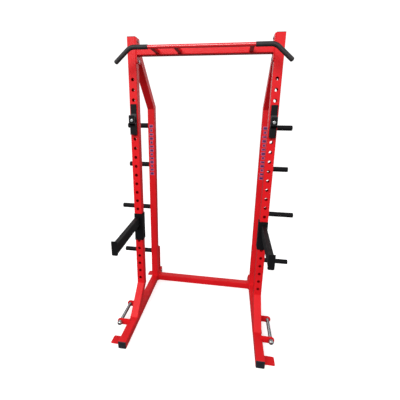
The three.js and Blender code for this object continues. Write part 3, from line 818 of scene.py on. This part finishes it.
def jcup_liner():
    low, high, t = CUP_FLOOR[1] + GAP, LIP_TOP + 3, LINER_WALL
    front, rear = PLATE - CUP_REACH + GAP, FACE - PLATE - GAP
    profile = rounded_outline(
        [(front, low), (rear, low), (rear, LINER_TOP), (rear - t, LINER_TOP), (rear - t, low + t),
         (front + t, low + t), (front + t, high), (front, high)],
        [1, 1, 1, 3, 4, 4, 3, 1], 4)
    liner = eased(prism(profile, "x", *CUP_X), 0.8)
    centre = (CENTRE_X, CUP_BOLT_Z)
    return cut(liner, drill("y", CUP_BOLT_HOLE, front - 5, front + t - 2, centre, 24))


def jcup_bolt():
    """A bolt with a smooth, flat round head."""
    face = -CUP_REACH - GAP
    centre = (CENTRE_X, CUP_BOLT_Z)
    head = [(12.6, face), (13, face - 0.8), (13, face - 3.4), (12.6, face - 4.6),
            (11.8, face - 5.4), (10.6, face - 5.9), (9.5, face - 6.0)]
    shank = rod("y", BOLT_RADIUS, face - 1, PLATE - CUP_REACH + 2.5, centre, 0.6, 20)
    return join(lathe(head, "y", centre, 40), shank)


# ------------------------------------------------------------------ spotter arms
def arm_bracket():
    """An angle plate round the inner corner of the upright, with a gusset under the beam."""
    inner, front, side_rear = INNER_X - GAP, FACE - PLATE, TUBE - 4
    corners = [(inner - PLATE, front), (OUTER_X, front), (OUTER_X, FACE), (inner, FACE),
               (inner, side_rear), (inner - PLATE, side_rear)]
    angle = eased(prism(rounded_outline(corners, [9, 0, 0, 0, 0, 0]), "z", *ARM_PLATE))
    top, root, middle = BEAM_ROOT_Z[0] - GAP, front + 1, sum(BEAM_X) / 2
    tip, fall = root - GUSSET, GUSSET * BEAM_SLOPE
    corners = [(root, top), (tip, top - fall), (tip, top - fall - GUSSET_TIP), (root, top - GUSSET)]
    gusset = eased(prism(corners, "x", middle - 4, middle + 4), 0.8)
    root_weld = bead(outline_at("y", front - 0.2, rectangle(BEAM_X, BEAM_ROOT_Z, 5)), 3.2)
    welds = [seam([(x, front - 1, top - 55), (x, front - 1, top - 3)], 2.2)
             for x in (middle - 4.5, middle + 4.5)]
    return join(angle, gusset, root_weld, *welds, pins(ARM_PINS))


def arm_beam():
    middle = sum(BEAM_X) / 2
    path = [(middle, y, sum(z) / 2) for y, z in zip(BEAM_Y, (BEAM_FRONT_Z, BEAM_ROOT_Z))]
    height = (BEAM_ROOT_Z[1] - BEAM_ROOT_Z[0]) * math.cos(math.atan(BEAM_SLOPE))
    outlines = tube_outlines(BEAM_X[1] - BEAM_X[0], height, BEAM_WALL, BEAM_CORNER)
    upright_end = Vector((0, 1, 0))
    tube = eased(swept(outlines, path, (1, 0, 0), (upright_end, upright_end)), 0.5, 1)
    weld = rectangle(BEAM_X, BEAM_FRONT_Z, BEAM_CORNER)
    return join(tube, bead(outline_at("y", BEAM_Y[0] + 0.6, weld), 2.4))


def arm_end_plate():
    middle, rear = sum(BEAM_X) / 2, BEAM_Y[0] - GAP
    across = (middle - END_PLATE_HALF, middle + END_PLATE_HALF)
    return eased(prism(rectangle(across, END_PLATE_Z, (9, 9, 3, 3)), "y", rear - PLATE, rear))


# ------------------------------------------------------------------ decals
def decal_bars():
    """A column of plain bars on the front face of a rear upright: paler edges, and the bars."""
    pale, dark = [], []
    step = (DECAL_Z[1] - DECAL_Z[0]) / DECAL_BARS
    for k in range(DECAL_BARS):
        z = DECAL_Z[0] + step * (k + 0.5)
        half_height = step * (0.40, 0.30, 0.36)[k % 3]
        half_width = (21, 21, 14)[k % 3]
        for shapes, edge, proud in ((pale, 0, 0.25), (dark, 5.5, 0.45)):
            w, h = half_width - edge, half_height - edge
            outline = rectangle((CENTRE_X - w, CENTRE_X + w), (z - h, z + h), 3, 3)
            shapes.append(prism(outline, "y", DEPTH - proud, DEPTH + 0.5))
    return join(*pale), join(*dark)


# ------------------------------------------------------------------ the rack
pair("front_upright", front_upright(), RED)
pair("rear_upright", rear_upright(), RED)
pair("base_rail", base_rail(), RED)
piece("top_crossmember_shell", crossmember(CROSS, flange(*TOP_FLANGE, TOP_BOLTS)), RED,
      nodes=["top_crossmember"])
piece("rear_crossmember_shell", crossmember(REAR_CROSS, flange(*REAR_FLANGE, REAR_BOLTS)), RED,
      nodes=["rear_crossmember"])
cap = plug_shape(CAP_PROUD, CAP_DEPTH)
pair("upright_cap", moved(cap, CENTRE_X, TUBE / 2, RACK_HEIGHT - CAP_PROUD), PLASTIC)
plug = plug_shape(PLUG_PROUD, PLUG_DEPTH)
pair("rail_plug_front", moved(turned(plug, -1), CENTRE_X, RAIL[0], TUBE / 2), PLASTIC)
pair("rail_plug_rear", moved(turned(plug, 1), CENTRE_X, RAIL[1], TUBE / 2), PLASTIC)
for end, places in (("top", TOP_BOLTS), ("rear", REAR_BOLTS)):
    for i, at in enumerate(places):
        pair(f"{end}_flange_bolt_{i + 1}", flange_bolt(at), ZINC)

half_bar = bar_path(0, BAR_INSET)[1:]
bar = [(-x, y, z) for x, y, z in half_bar[::-1]] + half_bar
piece("pull_up_bar_shell", round_bar(bar, [BAR_RADIUS] * len(bar)), GLOSS, nodes=["pull_up_bar"])
pair("pull_up_grip", grip(), RUBBER)
for name, x in STANDOFFS.items():
    piece(f"bar_standoff_{name}_shell", standoff(x), RED, nodes=[f"bar_standoff_{name}"])

for i, (z, length) in enumerate(PEGS):
    pair(f"weight_peg_{i + 1}", weight_peg(z, length), BLACK)
pair("bar_holder", bar_holder(), RED)
pair("band_rod", thread(ROD_RADIUS, THREAD_DEPTH, THREAD_PITCH, *ROD, (LUG_X, LUG_Z)), GREY_ZINC)
pair("band_nut_front", dome_nut(), ZINC)
pair("band_nut_rear", open_nut(), ZINC)

pair("jcup_body", jcup_body(), BLACK, "jcup")
pair("jcup_liner", jcup_liner(), LINER, "jcup")
pair("jcup_bolt", jcup_bolt(), ZINC, "jcup")
pair("arm_bracket", arm_bracket(), BLACK, "spotter_arm")
pair("arm_beam", arm_beam(), BLACK, "spotter_arm")
pair("arm_end_plate", arm_end_plate(), BLACK, "spotter_arm")

pale_bars, dark_bars = decal_bars()
pair("decal_edge", pale_bars, LILAC, trim=True)
pair("decal_bar", dark_bars, BLUE, trim=True)

# ------------------------------------------------------------------ stage
# (sine of the elevation, brightness): dim below the horizon, white round it, softer overhead
SKY_TONES = [(-1.0, 0.12), (-0.04, 0.12), (-0.03, 1.0), (0.52, 1.0), (0.70, 0.3), (1.0, 0.3)]
SKY_STRENGTH = 1.12


def floor():
    far = 2000
    mesh = bpy.data.meshes.new("floor")
    mesh.from_pydata([(-far, -far, 0), (far, -far, 0), (far, far, 0), (-far, far, 0)], [],
                     [(0, 1, 2, 3)])
    material, nodes, links, bsdf, place = shader("floor_paper", specular=0.1)
    tone = noise(nodes, links, place, 3, 3)
    links.new(mix(nodes, links, tone, (0.93, 0.93, 0.93), (0.95, 0.95, 0.95)),
              bsdf.inputs["Base Color"])
    bsdf.inputs["Roughness"].default_value = 0.9
    bsdf.inputs["Emission Color"].default_value = (1, 1, 1, 1)
    bsdf.inputs["Emission Strength"].default_value = 0.5
    mesh.materials.append(material)
    o = bpy.data.objects.new("floor", mesh)
    bpy.context.scene.collection.objects.link(o)
    o.visible_diffuse = False          # the pale floor throws no light up at the rack
    o.visible_glossy = False


def softbox(name, place, target, size, power):
    light = bpy.data.lights.new(name, "AREA")
    light.shape = "RECTANGLE"
    light.size, light.size_y = size
    light.energy = power
    o = bpy.data.objects.new(name, light)
    o.location = place
    o.rotation_euler = (Vector(target) - Vector(place)).to_track_quat("-Z", "Y").to_euler()
    bpy.context.scene.collection.objects.link(o)


def camera():
    """A wide lens, above and to the right of the middle, turned left, down and a little askew."""
    turn, down, roll = (math.radians(a) for a in (-8.664, 15.519, 0.731))
    level = Vector((math.sin(turn), math.cos(turn), 0))
    ahead = level * math.cos(down) - Vector((0, 0, math.sin(down)))
    across = Vector((math.cos(turn), -math.sin(turn), 0))
    above = across.cross(ahead)
    right = across * math.cos(roll) + above * math.sin(roll)
    up = above * math.cos(roll) - across * math.sin(roll)
    data = bpy.data.cameras.new("camera")
    data.sensor_width = 36
    data.lens = 24.389
    data.clip_end = 6000
    data.shift_x, data.shift_y = 0.0264, -0.0205
    o = bpy.data.objects.new("camera", data)
    place = Vector((0.2585, -2.2833 + ORIGIN_Y, 1.9134))
    o.matrix_world = Matrix.Translation(place) @ Matrix((right, up, -ahead)).transposed().to_4x4()
    bpy.context.scene.collection.objects.link(o)
    bpy.context.scene.camera = o


def world():
    scene = bpy.context.scene
    scene.view_settings.view_transform = "Standard"
    w = bpy.data.worlds.new("studio")
    scene.world = w
    w.use_nodes = True
    nodes, links = w.node_tree.nodes, w.node_tree.links
    axes = nodes.new("ShaderNodeSeparateXYZ")
    links.new(nodes.new("ShaderNodeTexCoord").outputs["Generated"], axes.inputs["Vector"])
    ramp = nodes.new("ShaderNodeValToRGB")
    elements = ramp.color_ramp.elements
    while len(elements) < len(SKY_TONES):
        elements.new(0.5)
    for element, (height, tone) in zip(elements, SKY_TONES):
        element.position = (height + 1) / 2
        element.color = (tone, tone, tone, 1)
    links.new(spread(nodes, links, axes.outputs["Z"], 0, 1, -1, 1), ramp.inputs["Fac"])
    links.new(ramp.outputs["Color"], nodes["Background"].inputs["Color"])
    nodes["Background"].inputs["Strength"].default_value = SKY_STRENGTH


floor()
softbox("key", (-1.2, -5.6, 4.9), (0, 0, 1.1), (4.2, 3.4), 330)
camera()
world()
